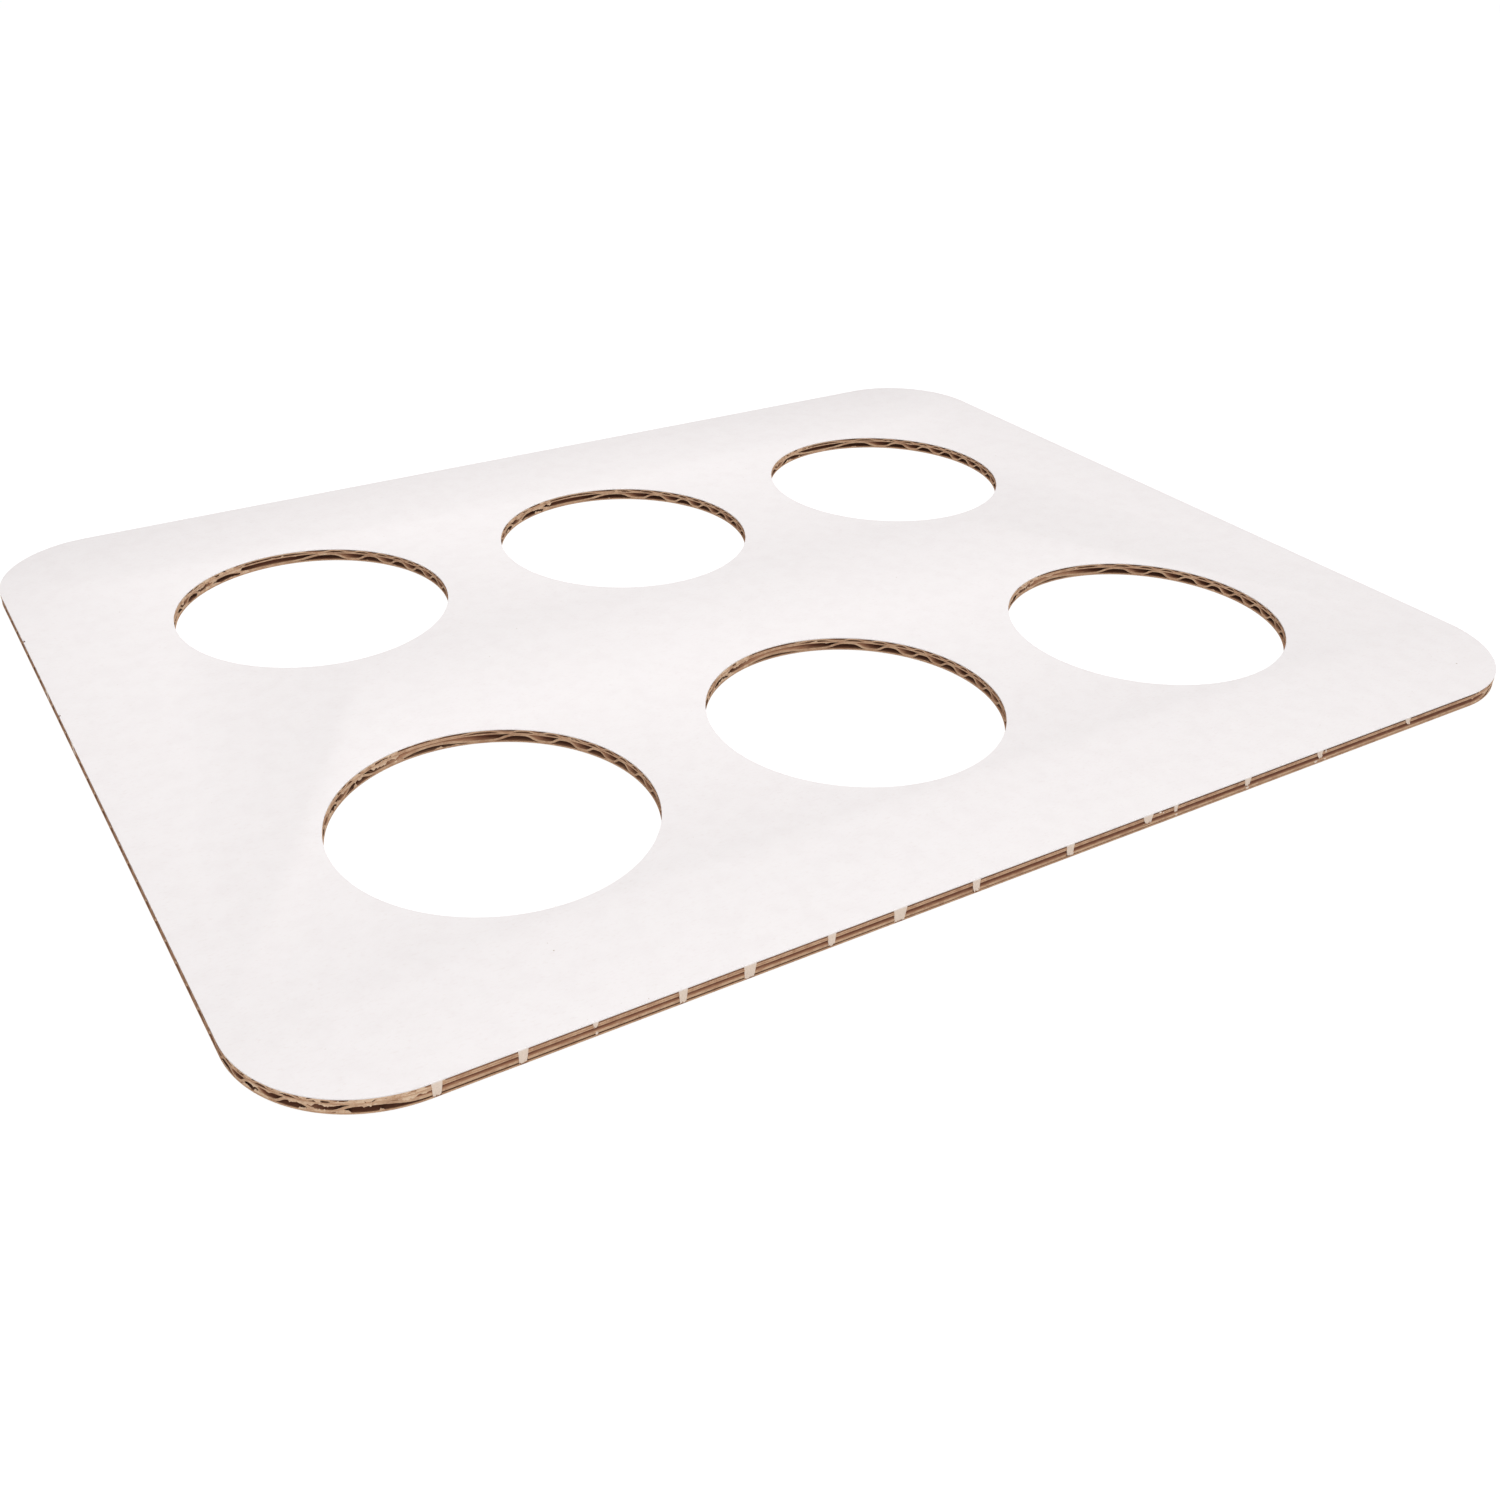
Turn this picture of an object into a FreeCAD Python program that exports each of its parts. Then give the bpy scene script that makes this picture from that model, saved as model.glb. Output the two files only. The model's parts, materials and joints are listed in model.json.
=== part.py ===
import FreeCAD, Part
import math
import os

# Flat cup carrier, die cut from one sheet of double-wall corrugated board.
# Millimetres. Origin: middle of the sheet, on the face that it rests on.
# +X runs along the long edge and along the flutes, +Y to the back edge, +Z up.

# Outline of the sheet
sheet_length = 349.0
sheet_width = 276.4
corner_radius = 30.0

# Cup holes, in columns along X and rows along Y
hole_diameter = 76.0
hole_columns = 3
hole_rows = 2
hole_pitch_x = 100.0
hole_pitch_y = 124.0
grid_shift_right = 1.0
grid_shift_front = 2.4

# Plies, from the bottom up: liner, coarse fluting, liner, fine fluting, white liner
bottom_liner_gauge = 0.35
lower_flute_height = 1.95
lower_medium_gauge = 0.34
middle_liner_gauge = 0.25
upper_flute_height = 0.90
upper_medium_gauge = 0.28
top_liner_gauge = 0.30

# Flutes: spacing, and width of the glue line at each tip
lower_flute_pitch = 7.93
lower_glue_width = 0.80
upper_flute_pitch = 4.68
upper_glue_width = 0.50

# Chords that stand for the round cuts in the flutings
hole_chord_count = 30
corner_chord_count = 6

# The flutes lie a little askew to the front edge
flute_skew = 0.15
lower_crest_from_front = 2.72
upper_crest_from_front = 2.06

# Nicks: places where the knife left the white liner whole and it was pulled down over the edge.
# Each is (share of the straight edge, width at the top, share of the height it hangs down).
nick_taper = 0.72
front_nicks = (
    (0.004, 2.2, 0.98),
    (0.063, 2.1, 0.98),
    (0.115, 1.2, 0.45),
    (0.181, 2.0, 0.98),
    (0.234, 2.9, 0.98),
    (0.302, 2.0, 0.90),
    (0.362, 3.4, 0.98),
    (0.432, 2.1, 0.94),
    (0.524, 2.2, 0.90),
    (0.605, 3.0, 0.72),
    (0.635, 1.3, 0.58),
    (0.716, 2.1, 0.70),
    (0.802, 2.1, 0.66),
    (0.914, 1.9, 0.62),
)
left_nicks = (
    (0.710, 2.4, 0.90),
    (0.570, 2.2, 0.90),
)

# Heights of the glued faces, worked out from the plies
bottom_liner_top = bottom_liner_gauge
middle_liner_base = bottom_liner_top + lower_flute_height
middle_liner_top = middle_liner_base + middle_liner_gauge
top_liner_base = middle_liner_top + upper_flute_height

# How far the fluted web is rolled past the sheet before it is trimmed
web_spare = 12.0


def vec(x, y, z):
    """A point or direction."""
    return FreeCAD.Vector(x, y, z)


def rounded_sheet(length, width, radius, base, height):
    """A flat plate with rounded corners, centred on the origin."""
    x = length / 2.0
    y = width / 2.0
    diagonal = radius * (1.0 - math.sqrt(0.5))
    edges = [
        Part.LineSegment(vec(-x + radius, -y, base), vec(x - radius, -y, base)),
        Part.Arc(
            vec(x - radius, -y, base),
            vec(x - diagonal, -y + diagonal, base),
            vec(x, -y + radius, base),
        ),
        Part.LineSegment(vec(x, -y + radius, base), vec(x, y - radius, base)),
        Part.Arc(
            vec(x, y - radius, base),
            vec(x - diagonal, y - diagonal, base),
            vec(x - radius, y, base),
        ),
        Part.LineSegment(vec(x - radius, y, base), vec(-x + radius, y, base)),
        Part.Arc(
            vec(-x + radius, y, base),
            vec(-x + diagonal, y - diagonal, base),
            vec(-x, y - radius, base),
        ),
        Part.LineSegment(vec(-x, y - radius, base), vec(-x, -y + radius, base)),
        Part.Arc(
            vec(-x, -y + radius, base),
            vec(-x + diagonal, -y + diagonal, base),
            vec(-x + radius, -y, base),
        ),
    ]
    outline = Part.Wire([edge.toShape() for edge in edges])
    return Part.Face(outline).extrude(vec(0, 0, height))


def hole_centres():
    """Centres of the cup holes in the plane of the sheet."""
    centres = []
    for row in range(hole_rows):
        for column in range(hole_columns):
            x = (column - (hole_columns - 1) / 2.0) * hole_pitch_x + grid_shift_right
            y = (row - (hole_rows - 1) / 2.0) * hole_pitch_y - grid_shift_front
            centres.append((x, y))
    return centres


def die_cut(base, height):
    """The sheet's outline with its cup holes, between two heights."""
    blank = rounded_sheet(sheet_length, sheet_width, corner_radius, base, height)
    punches = [
        Part.makeCylinder(hole_diameter / 2.0, height, vec(x, y, base))
        for x, y in hole_centres()
    ]
    return blank.cut(punches)


def tongue(width, hang):
    """One nick: a tapered strip of the top liner, as thick as it, hanging at the front edge."""
    drop = hang * top_liner_base
    half_top = width / 2.0
    half_foot = half_top * nick_taper
    corners = [
        vec(-half_top, 0, top_liner_base),
        vec(-half_foot, 0, top_liner_base - drop),
        vec(half_foot, 0, top_liner_base - drop),
        vec(half_top, 0, top_liner_base),
        vec(-half_top, 0, top_liner_base),
    ]
    return Part.Face(Part.makePolygon(corners)).extrude(vec(0, top_liner_gauge, 0))


def nick_tongues():
    """The tongues of all nicks, set flush into the edges that they cross."""
    tongues = []
    straight_front = sheet_length - 2.0 * corner_radius
    for share, width, hang in front_nicks:
        strip = tongue(width, hang)
        strip.translate(vec((share - 0.5) * straight_front, -sheet_width / 2.0, 0))
        tongues.append(strip)
    straight_left = sheet_width - 2.0 * corner_radius
    for share, width, hang in left_nicks:
        strip = tongue(width, hang)
        strip.rotate(vec(0, 0, 0), vec(0, 0, 1), -90.0)
        strip.translate(vec(-sheet_length / 2.0, (share - 0.5) * straight_left, 0))
        tongues.append(strip)
    return tongues


def flank_slope(pitch, height, gauge, glue_width):
    """Rise over run of a flank that keeps the paper's gauge even between its glued tips."""
    run = pitch / 2.0 - glue_width
    square = (height * run) ** 2 - (run ** 2 - gauge ** 2) * (height ** 2 - gauge ** 2)
    return (height * run - math.sqrt(square)) / (run ** 2 - gauge ** 2)


def flute_faces(pitch, height, gauge, glue_width, first, last):
    """Corners of the upper and lower face of the fluted paper, trough by trough, in the YZ plane.

    Each tip is flat outside, where it is glued to a liner, and creased inside.
    """
    slope = flank_slope(pitch, height, gauge, glue_width)
    half_glue = glue_width / 2.0
    crease = gauge * math.sqrt(1.0 + slope ** 2) - half_glue * slope
    top = height / 2.0
    upper = []
    lower = []
    for step in range(first, last):
        trough = (step + 0.5) * pitch
        crest = (step + 1.0) * pitch
        upper += [
            vec(0, trough, crease - top),
            vec(0, crest - half_glue, top),
            vec(0, crest + half_glue, top),
        ]
        lower += [
            vec(0, trough - half_glue, -top),
            vec(0, trough + half_glue, -top),
            vec(0, crest, top - crease),
        ]
    return upper, lower


def polygon_plate(corners, height):
    """A flat plate with straight sides."""
    return Part.Face(Part.makePolygon(corners + corners[:1])).extrude(vec(0, 0, height))


def ring_corners(x, y, base, radius, start, sweep, count):
    """Evenly spaced corners on an arc, its end included."""
    corners = []
    for step in range(count + 1):
        angle = math.radians(start + sweep * step / count)
        corners.append(vec(x + radius * math.cos(angle), y + radius * math.sin(angle), base))
    return corners


def fluting_cut(base, height):
    """The die cut as the flutings have it: crushed back from the liners' edges in short chords."""
    x = sheet_length / 2.0 - corner_radius
    y = sheet_width / 2.0 - corner_radius
    outline = []
    for side_x, side_y, start in ((1, -1, -90.0), (1, 1, 0.0), (-1, 1, 90.0), (-1, -1, 180.0)):
        outline += ring_corners(
            side_x * x, side_y * y, base, corner_radius, start, 90.0, corner_chord_count
        )
    hole_radius = hole_diameter / 2.0 / math.cos(math.pi / hole_chord_count)
    punches = []
    for hole_x, hole_y in hole_centres():
        rim = ring_corners(hole_x, hole_y, base, hole_radius, 0.0, 360.0, hole_chord_count)
        punches.append(polygon_plate(rim[:-1], height))
    return polygon_plate(outline, height).cut(punches)


def fluting(pitch, height, gauge, glue_width, base, crest_from_front):
    """A web of fluted paper between two liners, trimmed to the die cut."""
    first = -int(math.ceil(web_spare / pitch))
    last = first + int(math.ceil((sheet_width + 2.0 * web_spare) / pitch))
    upper, lower = flute_faces(pitch, height, gauge, glue_width, first, last)
    profile = Part.Face(Part.makePolygon(upper + lower[::-1] + upper[:1]))
    web_length = sheet_length + 2.0 * web_spare
    web = profile.extrude(vec(web_length, 0, 0))
    web.translate(vec(-web_length / 2.0, 0, 0))
    web.rotate(vec(0, 0, 0), vec(0, 0, 1), flute_skew)
    front = -sheet_width / 2.0
    web.translate(vec(0, front + crest_from_front, base + height / 2.0))
    return web.common(fluting_cut(base, height))


def plies():
    """Every ply of the board by name, each trimmed round the nick tongues."""
    tongues = nick_tongues()
    top = die_cut(top_liner_base, top_liner_gauge).fuse(tongues).removeSplitter()
    shapes = {
        "bottom_liner": die_cut(0.0, bottom_liner_gauge),
        "lower_fluting": fluting(
            lower_flute_pitch,
            lower_flute_height,
            lower_medium_gauge,
            lower_glue_width,
            bottom_liner_top,
            lower_crest_from_front,
        ),
        "middle_liner": die_cut(middle_liner_base, middle_liner_gauge),
        "upper_fluting": fluting(
            upper_flute_pitch,
            upper_flute_height,
            upper_medium_gauge,
            upper_glue_width,
            middle_liner_top,
            upper_crest_from_front,
        ),
    }
    trimmed = {name: shape.cut(tongues) for name, shape in shapes.items()}
    trimmed["top_liner"] = top
    return trimmed


def main():
    """Build the plies and write one file for each."""
    os.makedirs("parts", exist_ok=True)
    for name, shape in plies().items():
        solids = shape.Solids
        if len(solids) == 1:
            shape = solids[0]
        shape.exportStep("parts/" + name + ".step")
        print(name, len(solids), "solid", round(shape.Volume, 1), "mm3", shape.isValid())


main()
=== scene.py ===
"""A flat cup carrier of double-wall corrugated board: its papers, cut edges and torn nicks."""

import json
import logging
import math
import random
from dataclasses import dataclass, field
from enum import Enum, IntEnum
from functools import cached_property

import bmesh
import bpy
import numpy as np
from mathutils import Matrix, Vector, noise
from mathutils.geometry import tessellate_polygon

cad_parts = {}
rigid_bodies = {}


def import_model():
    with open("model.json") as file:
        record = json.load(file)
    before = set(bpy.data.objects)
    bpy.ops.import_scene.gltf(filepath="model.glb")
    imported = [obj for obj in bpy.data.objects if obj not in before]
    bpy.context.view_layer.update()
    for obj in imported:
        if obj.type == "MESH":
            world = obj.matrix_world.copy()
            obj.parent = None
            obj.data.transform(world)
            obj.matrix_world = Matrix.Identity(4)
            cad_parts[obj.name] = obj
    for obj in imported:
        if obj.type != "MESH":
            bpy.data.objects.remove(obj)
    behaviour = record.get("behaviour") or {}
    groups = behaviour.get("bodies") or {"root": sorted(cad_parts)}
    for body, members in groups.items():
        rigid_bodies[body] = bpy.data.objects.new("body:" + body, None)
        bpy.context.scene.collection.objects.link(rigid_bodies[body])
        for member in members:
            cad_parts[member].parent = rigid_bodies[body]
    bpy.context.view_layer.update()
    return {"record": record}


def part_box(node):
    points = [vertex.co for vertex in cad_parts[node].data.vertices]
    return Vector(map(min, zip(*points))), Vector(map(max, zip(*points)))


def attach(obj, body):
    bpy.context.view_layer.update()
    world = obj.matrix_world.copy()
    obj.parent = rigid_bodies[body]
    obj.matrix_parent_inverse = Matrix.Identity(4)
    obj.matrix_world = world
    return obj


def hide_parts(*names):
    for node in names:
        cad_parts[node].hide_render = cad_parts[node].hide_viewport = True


Point = tuple[float, float]
Place = tuple[float, float, float]
Colour = tuple[float, float, float]
Points = list[Place]
Faces = list[tuple[int, ...]]
Socket = bpy.types.NodeSocket
Material = bpy.types.Material
World = bpy.types.World
Mesh = bpy.types.Mesh
Piece = bpy.types.Object

MM = 0.001
LOG = logging.getLogger("carrier")

# The corners of the sheet, counter-clockwise: side in X, side in Y, angle where the arc starts
CORNERS = ((1, -1, -90.0), (1, 1, 0.0), (-1, 1, 90.0), (-1, -1, 180.0))
# The colour sockets of a mix node: both inputs and the output
MIX_FIRST, MIX_SECOND, MIX_RESULT = 6, 7, 2
PAPER_GLOSS = 0.22
GRAIN_ROUGHNESS = 0.6


class Ply(Enum):
    """The five papers that are glued into the board, from the top down."""

    TOP_LINER = "top_liner"
    UPPER_FLUTING = "upper_fluting"
    MIDDLE_LINER = "middle_liner"
    LOWER_FLUTING = "lower_fluting"
    BOTTOM_LINER = "bottom_liner"


class Slot(Enum):
    """The finishes that the record names."""

    WHITE = "white_liner"
    KRAFT = "kraft_liner"
    FLUTING = "fluting_paper"


class Side(IntEnum):
    """The parts of a paper that have a material of their own, in the order of its materials."""

    UPPER = 0
    LOWER = 1
    EDGE = 2
    TORN = 3


# The sheet's outline and levels


def span(ply: Ply) -> Point:
    """The lowest and the highest level of a paper in the frame."""
    low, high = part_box(ply.value)
    return low[2], high[2]


def side_levels(ply: Ply) -> Point:
    """The levels of a flat paper's sides, without the tongues that hang from the top one."""
    low, high = span(ply)
    return (span(Ply.UPPER_FLUTING)[1] if ply is Ply.TOP_LINER else low), high


def polar(centre: Point, radius: float, turn: float) -> Point:
    """The point of a circle at an angle in radians."""
    return centre[0] + radius * math.cos(turn), centre[1] + radius * math.sin(turn)


@dataclass(frozen=True)
class SheetPlan:
    """The die-cut outline, read from the frame, in metres."""

    half_length: float
    half_width: float
    hole_radius: float
    hole_centres: tuple[Point, ...]
    corner_radius: float = 30.0 * MM
    corner_steps: int = 40
    hole_steps: int = 200

    @classmethod
    def from_frame(cls, record: dict) -> "SheetPlan":
        """Read the sheet's size and its cup holes.

        Args:
            record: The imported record.

        Returns:
            The plan of the sheet.
        """
        low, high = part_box(Ply.BOTTOM_LINER.value)
        holes = [mount for mount in record["mounts"] if mount["kind"] == "bore"]
        return cls(
            half_length=(high[0] - low[0]) / 2.0,
            half_width=(high[1] - low[1]) / 2.0,
            hole_radius=holes[0]["dims"]["r_mm"] * MM,
            hole_centres=tuple((hole["pos_m"][0], hole["pos_m"][1]) for hole in holes),
        )

    def core(self) -> Point:
        """Half the length and half the width of the sheet between its corner arcs."""
        return self.half_length - self.corner_radius, self.half_width - self.corner_radius

    def corners(self) -> list[tuple[Point, float]]:
        """The centre of each corner's arc, and the angle in degrees where the arc starts."""
        x, y = self.core()
        return [((side_x * x, side_y * y), start) for side_x, side_y, start in CORNERS]

    def outline(self, inset: float = 0.0) -> list[Point]:
        """The rounded outline, counter-clockwise.

        Args:
            inset: How far inside the cut edge it runs.

        Returns:
            Its points.
        """
        points = []
        for centre, start in self.corners():
            for step in range(self.corner_steps + 1):
                turn = math.radians(start + 90.0 * step / self.corner_steps)
                points.append(polar(centre, self.corner_radius - inset, turn))
        return points

    def rim(self, centre: Point, inset: float = 0.0) -> list[Point]:
        """The edge of one cup hole, clockwise.

        Args:
            centre: The hole's centre.
            inset: How far inside the paper it runs.

        Returns:
            Its points.
        """
        turns = [-2.0 * math.pi * step / self.hole_steps for step in range(self.hole_steps)]
        return [polar(centre, self.hole_radius + inset, turn) for turn in turns]

    def loops(self, inset: float = 0.0) -> list[list[Point]]:
        """The outline and every rim."""
        return [self.outline(inset)] + [self.rim(centre, inset) for centre in self.hole_centres]

    def on_front(self, share: float) -> Matrix:
        """The place at a share of the straight front edge: X along it, Y into the board."""
        return Matrix.Translation(((2.0 * share - 1.0) * self.core()[0], -self.half_width, 0.0))

    def on_left(self, along: float) -> Matrix:
        """A place on the left edge, by its Y in the frame: X along it, Y into the board."""
        turn = Matrix.Rotation(math.radians(-90.0), 4, "Z")
        return Matrix.Translation((-self.half_length, along, 0.0)) @ turn


# Finishes


@dataclass(frozen=True)
class Grain:
    """One scale of noise in a paper.

    size is the width of its clouds in metres, detail its octaves, span what becomes 0 and 1, and
    stretch how much longer the clouds are along X and along Y.
    """

    size: float
    detail: float
    span: Point
    stretch: Point = (1.0, 1.0)


class Recipe:
    """The node tree of a material or a world under construction."""

    def __init__(self, owner: Material | World) -> None:
        """Start with an empty tree.

        Args:
            owner: What the tree belongs to.
        """
        owner.use_nodes = True
        self.owner = owner
        self.tree = owner.node_tree
        self.tree.nodes.clear()

    @cached_property
    def place(self) -> Socket:
        """The shaded point in the frame's metres."""
        return self.add("ShaderNodeTexCoord").outputs["Object"]

    def add(
        self, kind: str, inputs: dict[str | int, object] | None = None, **settings: object
    ) -> bpy.types.Node:
        """Add a node.

        Args:
            kind: The node's type.
            inputs: What its sockets get, by name or number: a socket's output or a constant.
            **settings: Properties of the node.

        Returns:
            The new node.
        """
        node = self.tree.nodes.new(kind)
        for key, value in settings.items():
            setattr(node, key, value)
        for key, value in (inputs or {}).items():
            if isinstance(value, Socket):
                self.tree.links.new(value, node.inputs[key])
            else:
                node.inputs[key].default_value = value
        return node

    def window(self, value: Socket, low: float, high: float) -> Socket:
        """Stretch a span of a value to 0 and 1.

        Args:
            value: The value to stretch.
            low: What becomes 0.
            high: What becomes 1.

        Returns:
            The stretched value.
        """
        inputs = {"From Min": low, "From Max": high, "Value": value}
        return self.add("ShaderNodeMapRange", inputs, interpolation_type="SMOOTHSTEP").outputs["Result"]

    def grain(self, grain: Grain) -> tuple[Socket, Socket]:
        """Noise in the frame's metres.

        Args:
            grain: The noise.

        Returns:
            Its value, about 0.5 on the whole, and the value stretched by its span.
        """
        scale = (1.0 / grain.stretch[0], 1.0 / grain.stretch[1], 1.0)
        mapping = self.add("ShaderNodeMapping", {"Scale": scale, "Vector": self.place})
        inputs = {
            "Vector": mapping.outputs["Vector"],
            "Scale": 1.0 / grain.size,
            "Detail": grain.detail,
            "Roughness": GRAIN_ROUGHNESS,
        }
        value = self.add("ShaderNodeTexNoise", inputs).outputs["Fac"]
        return value, self.window(value, *grain.span)

    def blend(self, factor: Socket, first: Socket | Colour, second: Socket | Colour) -> Socket:
        """Mix two colours.

        Args:
            factor: Share of the second colour.
            first: The colour at 0.
            second: The colour at 1.

        Returns:
            The mixed colour.
        """
        first, second = ((*tone, 1.0) if isinstance(tone, tuple) else tone for tone in (first, second))
        inputs = {"Factor": factor, MIX_FIRST: first, MIX_SECOND: second}
        return self.add("ShaderNodeMix", inputs, data_type="RGBA").outputs[MIX_RESULT]

    def number(self, operation: str, first: Socket | float, second: Socket | float) -> Socket:
        """One step of arithmetic with numbers."""
        return self.add("ShaderNodeMath", {0: first, 1: second}, operation=operation).outputs["Value"]

    def vector(self, operation: str, first: Socket, second: Place = (0.0, 0.0, 0.0)) -> Socket:
        """One step of arithmetic with a vector and a fixed one."""
        node = self.add("ShaderNodeVectorMath", {0: first, 1: second}, operation=operation)
        return node.outputs["Value" if operation in ("LENGTH", "DISTANCE") else "Vector"]

    def depth(self, plan: SheetPlan, outline_weight: float) -> Socket:
        """Distance of a place from the nearest cut of the sheet.

        Args:
            plan: The sheet's outline and holes.
            outline_weight: How much faster the depth grows behind the outline than behind the holes.

        Returns:
            The distance in metres.
        """
        flat = self.vector("MULTIPLY", self.place, (1.0, 1.0, 0.0))
        past_core = self.vector("SUBTRACT", self.vector("ABSOLUTE", flat), (*plan.core(), 0.0))
        reach = self.vector("LENGTH", self.vector("MAXIMUM", past_core))
        nearest = self.number("MULTIPLY", self.number("SUBTRACT", plan.corner_radius, reach), outline_weight)
        for centre in plan.hole_centres:
            away = self.vector("DISTANCE", flat, (*centre, 0.0))
            nearest = self.number("MINIMUM", nearest, self.number("SUBTRACT", away, plan.hole_radius))
        return nearest

    def finish(self, shader: bpy.types.Node) -> Material | World:
        """Show a shader.

        Args:
            shader: The last shader of the tree.

        Returns:
            What the tree belongs to.
        """
        kind = "World" if isinstance(self.owner, World) else "Material"
        self.add("ShaderNodeOutput" + kind, {"Surface": shader.outputs[0]})
        return self.owner

    def paper(self, colour: Socket, height: Socket, relief: float, roughness: float) -> Material:
        """Finish the material as matt paper.

        Args:
            colour: The paper's colour.
            height: The relief of its surface, 0 to 1.
            relief: The relief's depth in metres.
            roughness: The paper's roughness.

        Returns:
            The finished material.
        """
        bump = self.add("ShaderNodeBump", {"Strength": 1.0, "Distance": relief, "Height": height})
        inputs = {
            "Base Color": colour,
            "Roughness": roughness,
            "Specular IOR Level": PAPER_GLOSS,
            "Normal": bump.outputs["Normal"],
        }
        return self.finish(self.add("ShaderNodeBsdfPrincipled", inputs))


@dataclass(frozen=True)
class WhiteFinish:
    """The white outer paper: a faint warm mottle of short fibres, and a rare speck."""

    name: str = "white_paper"
    plain: Colour = (0.918, 0.886, 0.887)
    cloud: Colour = (0.897, 0.861, 0.862)
    fibre: Colour = (0.835, 0.775, 0.765)
    speck: Colour = (0.52, 0.43, 0.36)
    clouds: Grain = Grain(5.0 * MM, 4.0, (0.35, 0.75))
    fibres: Grain = Grain(0.55 * MM, 5.0, (0.50, 0.95), (2.2, 1.0))
    specks: Grain = Grain(1.3 * MM, 1.0, (0.80, 0.86))
    relief: float = 0.02 * MM
    roughness: float = 0.78

    def material(self) -> Material:
        """Build the node material.

        Returns:
            The material.
        """
        recipe = Recipe(bpy.data.materials.new(self.name))
        height, fibres = recipe.grain(self.fibres)
        tone = recipe.blend(recipe.grain(self.clouds)[1], self.plain, self.cloud)
        tone = recipe.blend(fibres, tone, self.fibre)
        tone = recipe.blend(recipe.grain(self.specks)[1], tone, self.speck)
        return recipe.paper(tone, height, self.relief, self.roughness)


@dataclass(frozen=True)
class KraftFinish:
    """Unbleached brown paper with streaks of fibre along the machine direction."""

    name: str
    plain: Colour
    dark: Colour
    pale: Colour
    patches: Grain = Grain(7.0 * MM, 3.0, (0.35, 0.70))
    streaks: Grain = Grain(0.7 * MM, 6.0, (0.48, 0.80), (5.0, 1.0))
    relief: float = 0.05 * MM
    roughness: float = 0.85

    def material(self) -> Material:
        """Build the node material.

        Returns:
            The material.
        """
        recipe = Recipe(bpy.data.materials.new(self.name))
        height, streaks = recipe.grain(self.streaks)
        tone = recipe.blend(recipe.grain(self.patches)[1], self.plain, self.dark)
        tone = recipe.blend(streaks, tone, self.pale)
        return recipe.paper(tone, height, self.relief, self.roughness)


@dataclass(frozen=True)
class InnerFinish:
    """Brown paper on the upper faces inside the board: dust and fraying where it was cut, kept lighter there
    partly as painted light, and darker further in as painted shade of the flute tunnels.
    """

    name: str = "inner_paper"
    # Near the cut: the paper's dust and fraying, lightened partly as painted light on faces that light falls
    # on.
    dusty_lit: Colour = (0.47, 0.240, 0.138)
    frayed_lit: Colour = (0.62, 0.380, 0.240)
    # Further in: painted shade of the flute tunnels, with its own fibre streaks.
    deep_shade: Colour = (0.20, 0.078, 0.043)
    deep_shade_streak: Colour = (0.30, 0.150, 0.090)
    streaks: Grain = Grain(0.5 * MM, 6.0, (0.45, 0.80), (5.0, 1.0))
    # Distances from the cut where the painted shade begins and where it is full.
    painted_shade_start: float = 0.2 * MM
    painted_shade_end: float = 1.5 * MM
    outline_weight: float = 3.0
    relief: float = 0.05 * MM
    roughness: float = 0.85

    def material(self, plan: SheetPlan) -> Material:
        """Build the node material.

        Args:
            plan: The sheet, which says where the cuts are.

        Returns:
            The material.
        """
        recipe = Recipe(bpy.data.materials.new(self.name))
        height, streaks = recipe.grain(self.streaks)
        # The tone by the cut (dust, fraying and painted light) and the painted shade tone further in.
        near = recipe.blend(streaks, self.dusty_lit, self.frayed_lit)
        far = recipe.blend(streaks, self.deep_shade, self.deep_shade_streak)
        depth = recipe.depth(plan, self.outline_weight)
        # Painted shade: the tone darkens from the cut's tone to the deep tone with distance from the nearest
        # cut.
        tone = recipe.blend(recipe.window(depth, self.painted_shade_start, self.painted_shade_end), near, far)
        return recipe.paper(tone, height, self.relief, self.roughness)


@dataclass(frozen=True)
class TornFinish:
    """The white paper where it is torn or cut: its white layer on top, and its brown layer below."""

    name: str
    torn: Colour
    fibre: Colour
    sound_height: float
    torn_height: float
    sound: Colour = WhiteFinish.plain
    fibres: Grain = Grain(0.35 * MM, 4.0, (0.45, 0.80))
    relief: float = 0.10 * MM
    roughness: float = 0.82

    def material(self) -> Material:
        """Build the node material.

        Returns:
            The material.
        """
        recipe = Recipe(bpy.data.materials.new(self.name))
        height, fibres = recipe.grain(self.fibres)
        level = recipe.add("ShaderNodeSeparateXYZ", {"Vector": recipe.place}).outputs["Z"]
        sound = recipe.window(level, self.torn_height, self.sound_height)
        tone = recipe.blend(sound, recipe.blend(fibres, self.torn, self.fibre), self.sound)
        return recipe.paper(tone, height, self.relief, self.roughness)


@dataclass(frozen=True)
class FloorFinish:
    """The plain pale table: white to the eye, and still shaded by what stands on it."""

    name: str = "table_white"
    bounced: Colour = (0.45, 0.45, 0.45)
    shaded: Colour = (0.32, 0.32, 0.32)
    glow: float = 0.87

    def material(self) -> Material:
        """Build the node material.

        Returns:
            The material.
        """
        recipe = Recipe(bpy.data.materials.new(self.name))
        rays = recipe.add("ShaderNodeLightPath").outputs
        seen = recipe.number("ADD", rays["Is Camera Ray"], rays["Is Glossy Ray"])
        seen = recipe.number("ADD", seen, rays["Is Transmission Ray"])
        plain = recipe.add("ShaderNodeBsdfDiffuse", {"Color": (*self.bounced, 1.0)})
        shown = recipe.add("ShaderNodeBsdfDiffuse", {"Color": (*self.shaded, 1.0)})
        glow = recipe.add("ShaderNodeEmission", {"Strength": self.glow})
        lit = recipe.add("ShaderNodeAddShader", {0: shown.outputs[0], 1: glow.outputs[0]})
        return recipe.finish(
            recipe.add("ShaderNodeMixShader", {"Fac": seen, 1: plain.outputs[0], 2: lit.outputs[0]})
        )


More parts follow.
